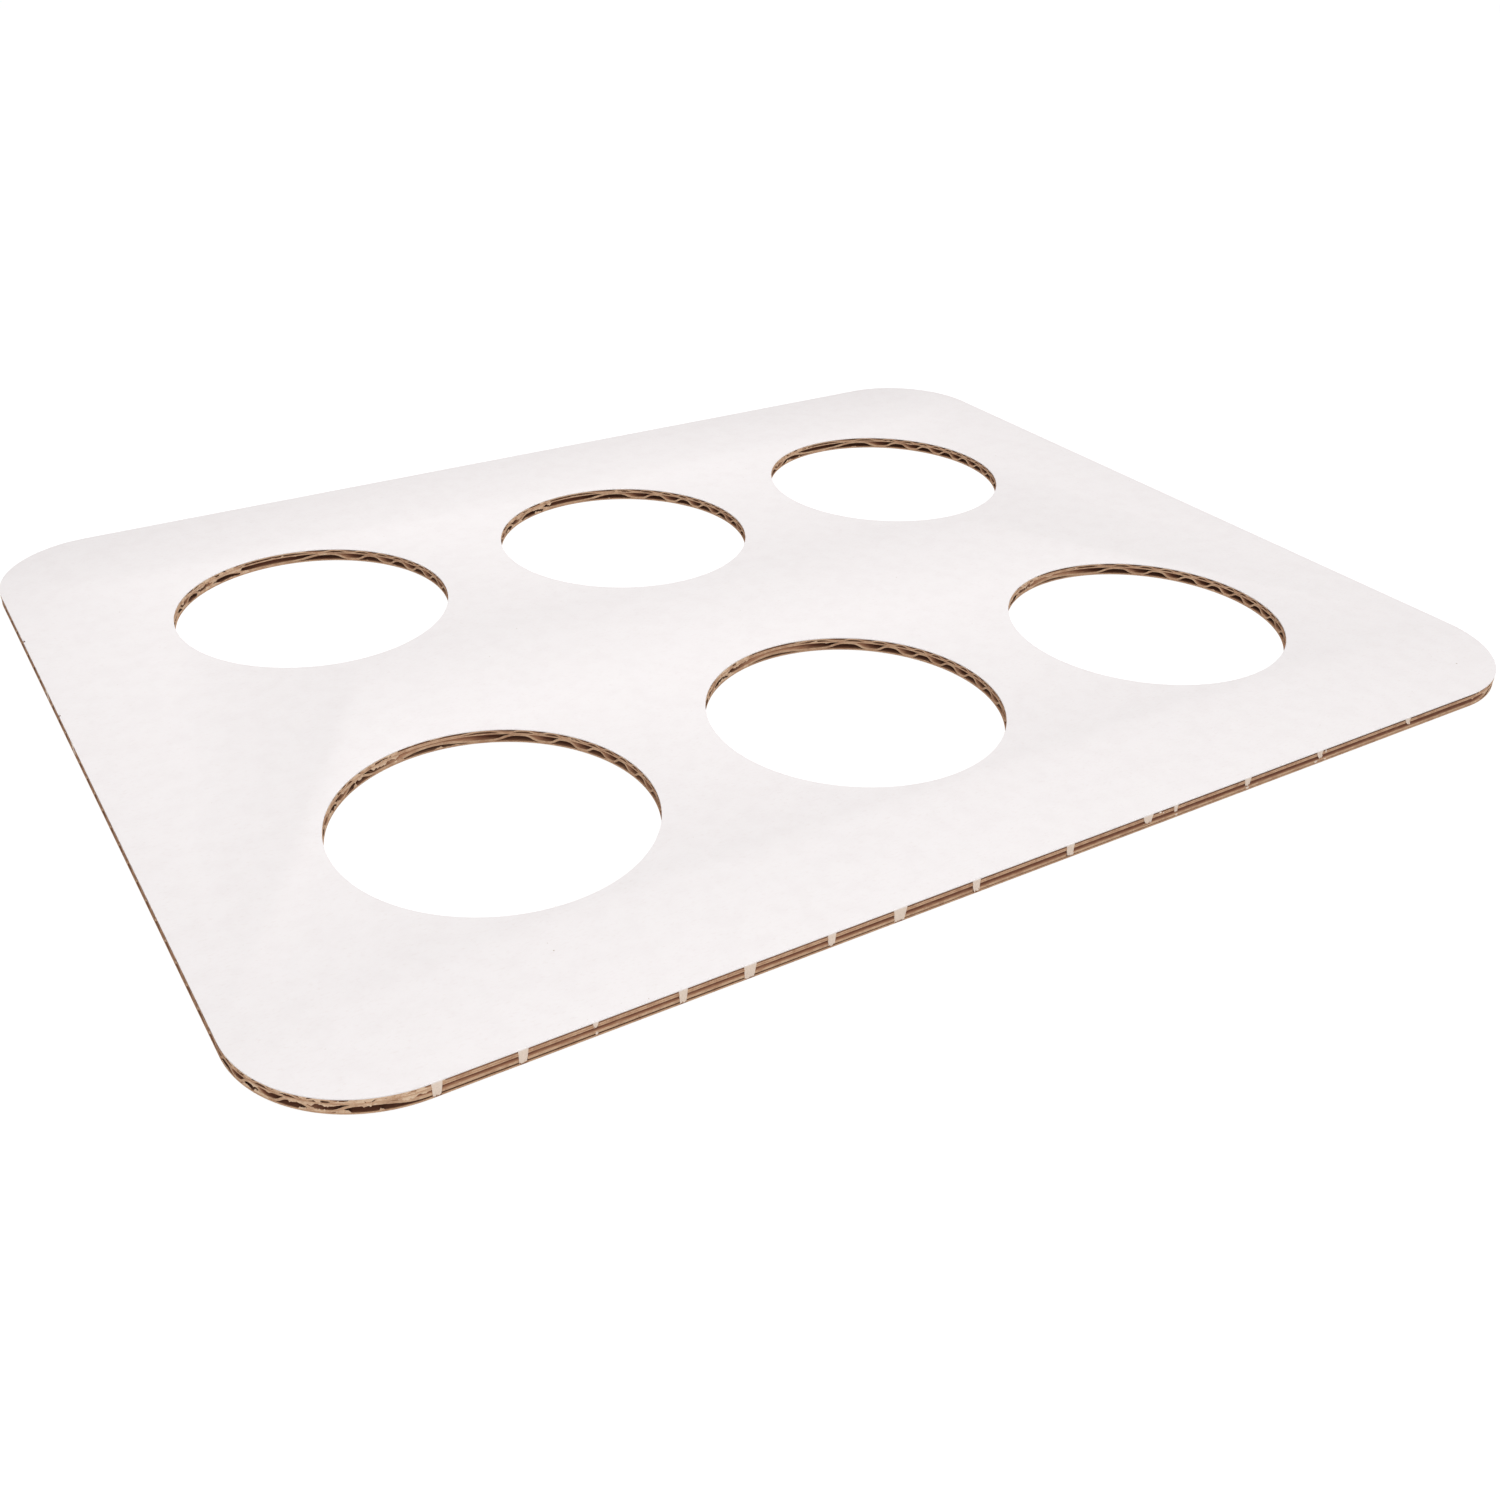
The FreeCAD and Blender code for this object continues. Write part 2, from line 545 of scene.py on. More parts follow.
WHITE_PAPER = WhiteFinish()
KRAFT_PAPER = KraftFinish("kraft_paper", (0.50, 0.285, 0.165), (0.44, 0.240, 0.135), (0.62, 0.400, 0.255))
# The fluting's lower faces: the same brown paper darkened as painted shade under the crests and in the
# tunnels.
SHADED_FLUTING_PAPER = KraftFinish(
    "fluting_paper", (0.20, 0.086, 0.048), (0.14, 0.058, 0.033), (0.30, 0.150, 0.090)
)
CUT_PAPER = KraftFinish(
    "cut_paper",
    (0.65, 0.430, 0.275),
    (0.48, 0.280, 0.170),
    (0.78, 0.580, 0.410),
    patches=Grain(2.5 * MM, 3.0, (0.35, 0.70)),
    streaks=Grain(0.35 * MM, 6.0, (0.48, 0.80), (1.6, 1.0)),
    relief=0.12 * MM,
)
CRUSHED_PAPER = KraftFinish(
    "crushed_paper",
    (0.80, 0.580, 0.400),
    (0.58, 0.350, 0.215),
    (0.90, 0.760, 0.610),
    patches=Grain(1.8 * MM, 3.0, (0.35, 0.70)),
    streaks=Grain(0.30 * MM, 6.0, (0.48, 0.80), (1.3, 1.0)),
    relief=0.10 * MM,
)
TORN_PAPER = TornFinish(
    "torn_white_paper", (0.90, 0.755, 0.640), (0.78, 0.620, 0.490), 3.74 * MM, 3.20 * MM
)
WHITE_CUT_PAPER = TornFinish(
    "white_paper_edge", (0.74, 0.53, 0.38), (0.84, 0.70, 0.56), 3.54 * MM, 3.40 * MM
)


@dataclass
class Papers:
    """The materials, made once and shared by the pieces."""

    plan: SheetPlan
    inner: Material = field(init=False)
    white: Material = field(default_factory=WHITE_PAPER.material)
    kraft: Material = field(default_factory=KRAFT_PAPER.material)
    # Painted shade: the dark finish of the webs' lower faces.
    shaded_fluting: Material = field(default_factory=SHADED_FLUTING_PAPER.material)
    cut: Material = field(default_factory=CUT_PAPER.material)
    crushed: Material = field(default_factory=CRUSHED_PAPER.material)
    torn: Material = field(default_factory=TORN_PAPER.material)
    white_cut: Material = field(default_factory=WHITE_CUT_PAPER.material)

    def __post_init__(self) -> None:
        """Make the finish whose painted shade depends on where the sheet is cut."""
        self.inner = InnerFinish().material(self.plan)


# Meshes


def new_mesh(name: str, points: Points, faces: Faces) -> Mesh:
    """Make a mesh.

    Args:
        name: Its name.
        points: Its corners.
        faces: Its faces, as the numbers of their corners.

    Returns:
        The new mesh.
    """
    mesh = bpy.data.meshes.new(name)
    mesh.from_pydata(points, [], faces)
    mesh.update()
    return mesh


def new_piece(name: str, mesh: Mesh) -> Piece:
    """Put a mesh into the scene.

    Args:
        name: The piece's name.
        mesh: Its mesh.

    Returns:
        The new object.
    """
    piece = bpy.data.objects.new(name, mesh)
    bpy.context.scene.collection.objects.link(piece)
    return piece


def joined(name: str, meshes: list[Mesh]) -> Mesh:
    """Several meshes as one.

    Args:
        name: The new mesh's name.
        meshes: The meshes to join.

    Returns:
        The new mesh.
    """
    shape = bmesh.new()
    for mesh in meshes:
        shape.from_mesh(mesh)
    result = bpy.data.meshes.new(name)
    shape.to_mesh(result)
    shape.free()
    return result


def face_outwards(mesh: Mesh) -> None:
    """Turn the faces of closed shapes outwards.

    Args:
        mesh: The mesh with the shapes.
    """
    shape = bmesh.new()
    shape.from_mesh(mesh)
    bmesh.ops.recalc_face_normals(shape, faces=shape.faces)
    shape.to_mesh(mesh)
    shape.free()


def plate(name: str, plan: SheetPlan, section: list[Point]) -> Piece:
    """A flat sheet with the die-cut outline.

    Args:
        name: The piece's name.
        plan: The outline.
        section: The cut edge's section from the bottom up, as (inset, height) points.

    Returns:
        The new object.
    """
    rings = [(plan.loops(inset), z) for inset, z in section]
    counts = [len(loop) for loop in rings[0][0]]
    total = sum(counts)
    points = [(x, y, z) for loops, z in rings for loop in loops for x, y in loop]
    faces = []
    start = 0
    for count in counts:
        for level in range(len(rings) - 1):
            base = level * total + start
            for step in range(count):
                after = (step + 1) % count
                faces.append((base + step, base + after, base + total + after, base + total + step))
        start += count
    for level, flip in ((0, True), (len(rings) - 1, False)):
        loops = [[Vector((x, y, 0.0)) for x, y in loop] for loop in rings[level][0]]
        for triangle in tessellate_polygon(loops):
            corners = [level * total + index for index in triangle]
            first, second, third = (Vector(points[corner]) for corner in corners)
            if ((second - first).cross(third - first).z < 0.0) != flip:
                corners.reverse()
            faces.append(tuple(corners))
    mesh = new_mesh(name, points, faces)
    mesh.validate()
    return new_piece(name, mesh)


def cut_with(piece: Piece, tool: Piece, operation: str) -> None:
    """Cut a piece with another mesh and keep the result.

    Args:
        piece: The piece that is cut.
        tool: The closed mesh that cuts it.
        operation: INTERSECT or DIFFERENCE.
    """
    cut = piece.modifiers.new("cut", "BOOLEAN")
    cut.operation = operation
    cut.object = tool
    cut.solver = "MANIFOLD"
    bpy.context.view_layer.update()
    shown = piece.evaluated_get(bpy.context.evaluated_depsgraph_get())
    mesh = bpy.data.meshes.new_from_object(shown)
    piece.modifiers.clear()
    piece.data = mesh


def paint(piece: Piece, papers: list[Material], tilt: float) -> np.ndarray:
    """Give a paper the materials of its upper side, its lower side and its cut edge.

    Args:
        piece: The paper.
        papers: The materials in the order of Side.
        tilt: Vertical part of the normal from which a face belongs to a side and not to the edge.

    Returns:
        The side of each face.
    """
    mesh = piece.data
    mesh.materials.clear()
    for paper in papers:
        mesh.materials.append(paper)
    normals = np.zeros(len(mesh.polygons) * 3, np.float32)
    mesh.polygons.foreach_get("normal", normals)
    rise = normals[2::3]
    sides = np.where(rise > tilt, Side.UPPER, np.where(rise < -tilt, Side.LOWER, Side.EDGE))
    mesh.polygons.foreach_set("material_index", sides.astype(np.int32))
    return sides


def seat(piece: Piece, ply: Ply | None = None) -> None:
    """Fix a piece to the part, hide the node that it replaces, and log its faces.

    Args:
        piece: The piece.
        ply: The node that it replaces, if any.
    """
    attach(piece, "root")
    if ply is not None:
        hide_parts(ply.value)
    LOG.info("%s: %d faces", piece.name, len(piece.data.polygons))


# The flat papers


@dataclass
class FlatLiner:
    """One flat paper of the board.

    Its cut edge is slightly rounded by the knife, and swells a little into the board.
    """

    plan: SheetPlan
    ply: Ply
    slot: Slot
    pocket: Piece
    swell_up: float = 0.0
    swell_down: float = 0.0
    swell_width: float = 0.45 * MM
    swell_shoulder: float = 0.6
    knife_radius: float = 0.07 * MM
    knife_turns: tuple[float, ...] = (0.0, 30.0, 60.0, 90.0)
    side_tilt: float = 0.55

    def lip(self, level: float, way: float, swell: float) -> list[Point]:
        """Half of the cut edge's section, from a side of the paper to the outermost point.

        Args:
            level: Height of the side.
            way: Where the side faces, 1 for up and -1 for down.
            swell: How far the edge swells past the side.

        Returns:
            (inset, height) points.
        """
        points = []
        if swell:
            shoulder = level + way * self.swell_shoulder * swell
            points = [(self.swell_width, level), (self.swell_width / 2.0, shoulder)]
        crown = level + way * swell
        radius = self.knife_radius
        for turn in map(math.radians, self.knife_turns):
            points.append((radius * (1 - math.sin(turn)), crown - way * radius * (1 - math.cos(turn))))
        return points

    def shape(self) -> Piece:
        """The paper, cut back behind the nicks.

        Returns:
            The new piece.
        """
        low, high = side_levels(self.ply)
        section = self.lip(low, -1.0, self.swell_down) + self.lip(high, 1.0, self.swell_up)[::-1]
        piece = plate(self.ply.value + "_paper", self.plan, section)
        cut_with(piece, self.pocket, "DIFFERENCE")
        return piece

    def build(self, papers: Papers) -> None:
        """Make the paper and dress it.

        Args:
            papers: The shared materials.
        """
        piece = self.shape()
        # The upper side gets the inner finish: lighter by the cuts, partly as painted light, and painted
        # shade further in.
        paint(piece, [papers.inner, papers.kraft, papers.cut], self.side_tilt)
        seat(piece, self.ply)


# The fluted papers


@dataclass
class FlutedWeb:
    """One fluted paper between two liners, open to view wherever the sheet is cut."""

    plan: SheetPlan
    ply: Ply
    pitch: float
    gauge: float
    crest_from_front: float
    pocket: Piece
    skew: float = 0.15
    tip_flatness: float = 1.7
    steps: int = 14
    row_length: float = 9.0 * MM
    spare: float = 8.0 * MM
    wander: float = 0.20 * MM
    wander_scale: Point = (22.0, 60.0)
    cut_back: float = 0.10 * MM
    side_tilt: float = 0.25
    sharp_angle: float = 40.0
    seed: int = 11

    def wave(self, turn: float) -> float:
        """Height of the paper's middle, from -1 to 1, over one flute from crest to crest."""
        swing = math.cos(2.0 * math.pi * turn)
        return math.tanh(self.tip_flatness * swing) / math.tanh(self.tip_flatness)

    def profile(self) -> tuple[np.ndarray, np.ndarray]:
        """Both faces of the paper across the flutes.

        Returns:
            The upper and the lower face, as rows of (y, z) from the first crest near the front.
        """
        low, high = span(self.ply)
        travel = (high - low - self.gauge) / 2.0
        middle = (high + low) / 2.0
        first = -math.ceil(self.spare / self.pitch)
        last = first + math.ceil(2.0 * (self.plan.half_width + self.spare) / self.pitch)
        turns = np.linspace(first, last, (last - first) * self.steps + 1)
        centre = np.array([(turn * self.pitch, middle + travel * self.wave(turn)) for turn in turns])
        slope = np.gradient(centre, axis=0)
        normal = np.stack([-slope[:, 1], slope[:, 0]], 1)
        normal /= np.linalg.norm(normal, axis=1)[:, None]
        return centre + normal * self.gauge / 2.0, centre - normal * self.gauge / 2.0

    def points(self) -> tuple[Points, int, int]:
        """The points of the web, which wanders a little along its flutes.

        Returns:
            The points, row by row with the upper face first, the number of rows, and the number
            of points across one face.
        """
        faces = self.profile()
        half = self.plan.half_length + self.spare
        rows = max(int(2.0 * half / self.row_length), 2)
        noise.seed_set(self.seed)
        offset = noise.random_unit_vector()
        points = []
        for x in np.linspace(-half, half, rows):
            for face in faces:
                for y, z in face:
                    spot = Vector((x * self.wander_scale[0], y * self.wander_scale[1], 0.0)) + offset
                    points.append((x, y + self.wander * noise.noise(spot), z))
        return points, rows, len(faces[0])

    def web(self) -> Piece:
        """The fluted paper before it is cut.

        Returns:
            The new piece.
        """
        points, rows, across = self.points()
        faces = []
        for row in range(rows - 1):
            base = row * 2 * across
            after = base + 2 * across
            for step in range(across - 1):
                faces.append((base + step, after + step, after + step + 1, base + step + 1))
                under = base + across + step
                beyond = after + across + step
                faces.append((under, under + 1, beyond + 1, beyond))
            faces.append((base, base + across, after + across, after))
            last, last_after = base + across - 1, after + across - 1
            faces.append((last, last_after, last_after + across, last + across))
        end = (rows - 1) * 2 * across
        for step in range(across - 1):
            faces.append((step, step + 1, across + step + 1, across + step))
            faces.append((end + step, end + across + step, end + across + step + 1, end + step + 1))
        mesh = new_mesh(self.ply.value + "_web", points, faces)
        front = -self.plan.half_width + self.crest_from_front
        mesh.transform(Matrix.Translation((0, front, 0)) @ Matrix.Rotation(math.radians(self.skew), 4, "Z"))
        mesh.update()
        return new_piece(self.ply.value + "_paper", mesh)

    def build(self, papers: Papers) -> None:
        """Make the web, cut it to the sheet and dress it.

        Args:
            papers: The shared materials.
        """
        piece = self.web()
        low, high = span(self.ply)
        section = [(self.cut_back, low - self.gauge), (self.cut_back, high + self.gauge)]
        knife = plate("knife", self.plan, section)
        cut_with(piece, knife, "INTERSECT")
        cut_with(piece, self.pocket, "DIFFERENCE")
        bpy.data.objects.remove(knife)
        # Upper faces get the inner finish and lower faces the dark fluting finish: painted light and painted
        # shade on one paper.
        sides = paint(piece, [papers.inner, papers.shaded_fluting, papers.cut], self.side_tilt)
        piece.data.polygons.foreach_set("use_smooth", sides != Side.EDGE)
        piece.data.set_sharp_from_angle(angle=math.radians(self.sharp_angle))
        seat(piece, self.ply)


# The nicks


@dataclass(frozen=True)
class Nick:
    """One place where the white paper was pulled down over the cut edge.

    share is its place along the straight edge, width its width at the top, hang the share of the
    board's height that it covers, and lean how many widths its foot is dragged aside.
    """

    share: float
    width: float
    hang: float
    lean: float = 0.0


@dataclass(frozen=True)
class Scrap:
    """A scrap of torn white paper that stuck to the front edge, between two heights."""

    share: float
    width: float
    low: float
    high: float


@dataclass(frozen=True)
class Tear:
    """A chip torn out of the white paper's left edge."""

    along: float
    width: float
    depth: float


def block(place: Matrix, rim: list[Point], near: float, far: float) -> Mesh:
    """A block across the edge of the board.

    Args:
        place: Its place on the edge.
        rim: Its outline on the edge, as (along, height) points.
        near: Where it starts, measured into the board.
        far: Where it ends.

    Returns:
        Its mesh.
    """
    count = len(rim)
    points = [tuple(place @ Vector((x, y, z))) for y in (near, far) for x, z in rim]
    faces = [tuple(range(count)), tuple(range(count, 2 * count))[::-1]]
    faces += [(k, count + k, count + (k + 1) % count, (k + 1) % count) for k in range(count)]
    return new_mesh("block", points, faces)


@dataclass
class Nicks:
    """Where the white paper was pulled down or torn, and the room that this takes.

    room is how deep a tongue goes into the board, and overlap how much wider it is than its notch
    on each side. The cutters start outside the edge, reach under the white paper, and pass it
    below and above.
    """

    plan: SheetPlan
    taper: float = 0.72
    room: float = 0.30 * MM
    outside: float = -0.5 * MM
    under: float = 0.2 * MM
    below: float = 0.5 * MM
    above: float = 1.0 * MM
    overlap: float = 0.05 * MM
    tear_slant: float = 0.6
    front: tuple[Nick, ...] = (
        Nick(0.004, 2.2 * MM, 0.98),
        Nick(0.063, 2.1 * MM, 0.98),
        Nick(0.115, 1.2 * MM, 0.45),
        Nick(0.181, 2.0 * MM, 0.98),
        Nick(0.234, 2.9 * MM, 0.98),
        Nick(0.302, 2.0 * MM, 0.90),
        Nick(0.362, 3.4 * MM, 0.98),
        Nick(0.432, 2.1 * MM, 0.94, 0.10),
        Nick(0.524, 2.2 * MM, 0.90, 0.15),
        Nick(0.605, 3.0 * MM, 0.72, 0.20),
        Nick(0.635, 1.3 * MM, 0.58, 0.25),
        Nick(0.716, 2.1 * MM, 0.70, 0.15),
        Nick(0.802, 2.1 * MM, 0.66, 0.30),
        Nick(0.914, 1.9 * MM, 0.62, 0.55),
    )
    left: tuple[Nick, ...] = (
        Nick(0.710, 2.4 * MM, 0.90),
        Nick(0.570, 2.2 * MM, 0.90),
    )
    tears: tuple[Tear, ...] = (
        Tear(75.7 * MM, 1.5 * MM, 0.55 * MM),
        Tear(29.7 * MM, 1.1 * MM, 0.45 * MM),
    )

    def places(self) -> list[tuple[Nick, Matrix]]:
        """Each nick with its place on the edge.

        Returns:
            The nicks of the front edge, then those of the left edge.
        """
        half = self.plan.core()[1]
        found = [(nick, self.plan.on_front(nick.share)) for nick in self.front]
        return found + [(nick, self.plan.on_left((2.0 * nick.share - 1.0) * half)) for nick in self.left]

    def board_pocket(self) -> Piece:
        """The space that the tongues take from the papers behind them.

        Returns:
            A cutter for those papers.
        """
        base, _ = side_levels(Ply.TOP_LINER)
        high = base + self.under
        blocks = []
        for nick, place in self.places():
            top = nick.width / 2.0
            foot = top * self.taper
            low = base * (1.0 - nick.hang)
            rim = [(-top, high), (-foot, low), (foot, low), (top, high)]
            blocks.append(block(place, rim, self.outside, self.room))
        return new_piece("board_pocket", joined("board_pocket", blocks))

    def liner_pocket(self) -> Piece:
        """The notches of the white paper, where the tongues bend down and where chips are torn out.

        Returns:
            A cutter for the white paper.
        """
        base, top = side_levels(Ply.TOP_LINER)
        low, high = base - self.below, top + self.above
        blocks = []
        for nick, place in self.places():
            half = nick.width / 2.0 - self.overlap
            rim = [(-half, high), (-half, low), (half, low), (half, high)]
            blocks.append(block(place, rim, self.outside, self.room))
        for tear in self.tears:
            half = tear.width / 2.0
            rim = [(-half, high), (-half * self.tear_slant, low), (half, low), (half, high)]
            blocks.append(block(self.plan.on_left(tear.along), rim, self.outside, tear.depth))
        return new_piece("liner_pocket", joined("liner_pocket", blocks))


@dataclass
class WhiteLiner(FlatLiner):
    """The white top paper, with its torn tongues over the front and left edges."""

    nicks: Nicks = field(kw_only=True)
    swell_down: float = 0.05 * MM
    tongue_gauge: float = 0.22 * MM
    thinning: float = 0.5
    bend: float = 0.32 * MM
    bend_rows: int = 6
    rows: int = 14
    columns: int = 14
    long_hang: float = 0.8
    short_taper: float = 0.50
    short_raggedness: float = 1.6
    raggedness: float = 0.5 * MM
    lean_spread: float = 0.10
    pleat: float = 0.06 * MM
    pleat_turns: float = 5.0
    pleat_phase: float = 6.0
    root_depth: float = 0.9 * MM
    sink: float = 0.02 * MM
    slant: float = 0.02 * MM
    lowest: float = 0.05 * MM
    scrap_depth: float = 0.02 * MM
    scrap_corners: int = 11
    scrap_reach: Point = (0.65, 1.0)
    sharp_angle: float = 50.0
    seed: int = 5
    scraps: tuple[Scrap, ...] = (
        Scrap(0.1155, 0.7 * MM, 0.45 * MM, 1.15 * MM),
        Scrap(0.4340, 1.0 * MM, 0.40 * MM, 0.80 * MM),
        Scrap(0.5265, 1.3 * MM, 0.35 * MM, 1.30 * MM),
        Scrap(0.6180, 0.8 * MM, 2.80 * MM, 3.40 * MM),
        Scrap(0.6215, 0.6 * MM, 2.45 * MM, 2.95 * MM),
        Scrap(0.6370, 0.9 * MM, 0.40 * MM, 1.05 * MM),
        Scrap(0.7175, 1.4 * MM, 0.38 * MM, 1.10 * MM),
        Scrap(0.7990, 1.3 * MM, 0.40 * MM, 1.15 * MM),
        Scrap(0.8095, 0.6 * MM, 2.35 * MM, 3.30 * MM),
        Scrap(0.8105, 0.9 * MM, 0.38 * MM, 0.80 * MM),
    )

    def shreds(self) -> list[Mesh]:
        """The scraps of torn paper, ragged all round.

        Returns:
            A mesh for each.
        """
        draw = random.Random(self.seed)
        found = []
        for scrap in self.scraps:
            middle = (scrap.high + scrap.low) / 2.0
            rim = []
            for step in range(self.scrap_corners):
                turn = -2.0 * math.pi * step / self.scrap_corners
                reach = draw.uniform(*self.scrap_reach)
                along = scrap.width / 2.0 * reach * math.cos(turn)
                rim.append((along, middle + (scrap.high - scrap.low) / 2.0 * reach * math.sin(turn)))
            found.append(block(self.plan.on_front(scrap.share), rim, self.scrap_depth, self.tongue_gauge))
        return found

    def path(self, nick: Nick) -> list[tuple[float, float, float]]:
        """The way of a tongue's outer side, from its root over the bend to its torn end.

        Args:
            nick: The nick.

        Returns:
            (depth into the board, height, share of the fall) for each row.
        """
        base, top = side_levels(self.ply)
        low = max(base * (1.0 - nick.hang), self.lowest)
        rows = [(self.root_depth, top - self.sink, 0.0)]
        for step in range(self.bend_rows + 1):
            turn = math.radians(90.0 * step / self.bend_rows)
            depth = self.bend * (1.0 - math.sin(turn))
            rows.append((depth, top - self.bend * (1.0 - math.cos(turn)), 0.0))
        fall = top - self.bend - low
        for step in range(1, self.rows + 1):
            share = step / self.rows
            rows.append((self.slant * share, top - self.bend - share * fall, share))
        return rows

    def strip(self, nick: Nick, place: Matrix) -> Mesh:
        """One tongue: a sheet of even gauge that thins towards its torn end.

        Args:
            nick: The nick.
            place: Its place on the edge.

        Returns:
            Its mesh.
        """
        draw = random.Random(self.seed + round(nick.share * 1000))
        taper, tearing = self.nicks.taper, 1.0
        if nick.hang <= self.long_hang:
            taper, tearing = self.short_taper, self.short_raggedness
        ragged = [draw.uniform(0.0, self.raggedness) for _ in range(self.columns + 1)]
        lean = nick.lean + draw.uniform(-self.lean_spread, self.lean_spread)
        phase = draw.uniform(0.0, self.pleat_phase)
        way = self.path(nick)
        along = np.gradient(np.array([row[:2] for row in way]), axis=0)
        inward = np.stack([-along[:, 1], along[:, 0]], 1)
        inward /= np.linalg.norm(inward, axis=1)[:, None]
        outer = []
        inner = []
        for (depth, height, fall), aside in zip(way, inward):
            half = nick.width / 2.0 * (1.0 - (1.0 - taper) * fall)
            gauge = self.tongue_gauge * (1.0 - self.thinning * fall)
            for column in range(self.columns + 1):
                side = 2.0 * column / self.columns - 1.0
                x = side * half + lean * nick.width * fall * fall
                y = depth + self.pleat * fall * (1.0 + math.sin(self.pleat_turns * side + phase))
                z = height + ragged[column] * fall ** 4 * tearing
                outer.append(tuple(place @ Vector((x, y, z))))
                inner.append(tuple(place @ Vector((x, y + aside[0] * gauge, z + aside[1] * gauge))))
        mesh = new_mesh("tongue", outer + inner, self.skin(len(way) - 1))
        face_outwards(mesh)
        mesh.polygons.foreach_set("use_smooth", np.ones(len(mesh.polygons), bool))
        return mesh

    def skin(self, rows: int) -> Faces:
        """The faces round a tongue, whose outer points are numbered before its inner ones.

        Args:
            rows: How many rows of faces it has along its way.

        Returns:
            The faces.
        """
        faces = []
        width = self.columns + 1
        count = (rows + 1) * width
        for row in range(rows):
            for column in range(self.columns):
                a = row * width + column
                faces.append((a, a + width, a + width + 1, a + 1))
                faces.append((count + a, count + a + 1, count + a + width + 1, count + a + width))
            left = row * width
            right = left + self.columns
            faces.append((left, count + left, count + left + width, left + width))
            faces.append((right, right + width, count + right + width, count + right))
        for column in range(self.columns):
            faces.append((column, column + 1, count + column + 1, count + column))
            a = rows * width + column
            faces.append((a, count + a, count + a + 1, a + 1))
        return faces

    def build(self, papers: Papers) -> None:
        """Make the paper with its tongues and dress it.

        Args:
            papers: The shared materials.
        """
        piece = self.shape()
        paint(piece, [papers.white, papers.kraft, papers.white_cut, papers.torn], self.side_tilt)
        torn = [self.strip(nick, place) for nick, place in self.nicks.places()] + self.shreds()
        for mesh in torn:
            mesh.polygons.foreach_set("material_index", np.full(len(mesh.polygons), Side.TORN, np.int32))
        mesh = joined(piece.name, [piece.data, *torn])
        for paper in piece.data.materials:
            mesh.materials.append(paper)
        mesh.set_sharp_from_angle(angle=math.radians(self.sharp_angle))
        piece.data = mesh
        seat(piece, self.ply)


# The torn edges of the flutings


@dataclass(frozen=True)
class Crush:
    """How the knife crushed one stretch of a cut, from one angle to another in degrees.

    spacing is the length of cut for each flap, and height the least and the most that it rises.
    """

    start: float
    end: float
    spacing: float
    height: Point


@dataclass(frozen=True)
class Arc:
    """One stretch of a cut, as part of a circle.

    inwards is 1 where the paper lies inside the circle, and -1 where it lies round it. start is
    the angle in degrees that the crush is measured from.
    """

    centre: Point
    radius: float
    inwards: float
    start: float
    crush: Crush


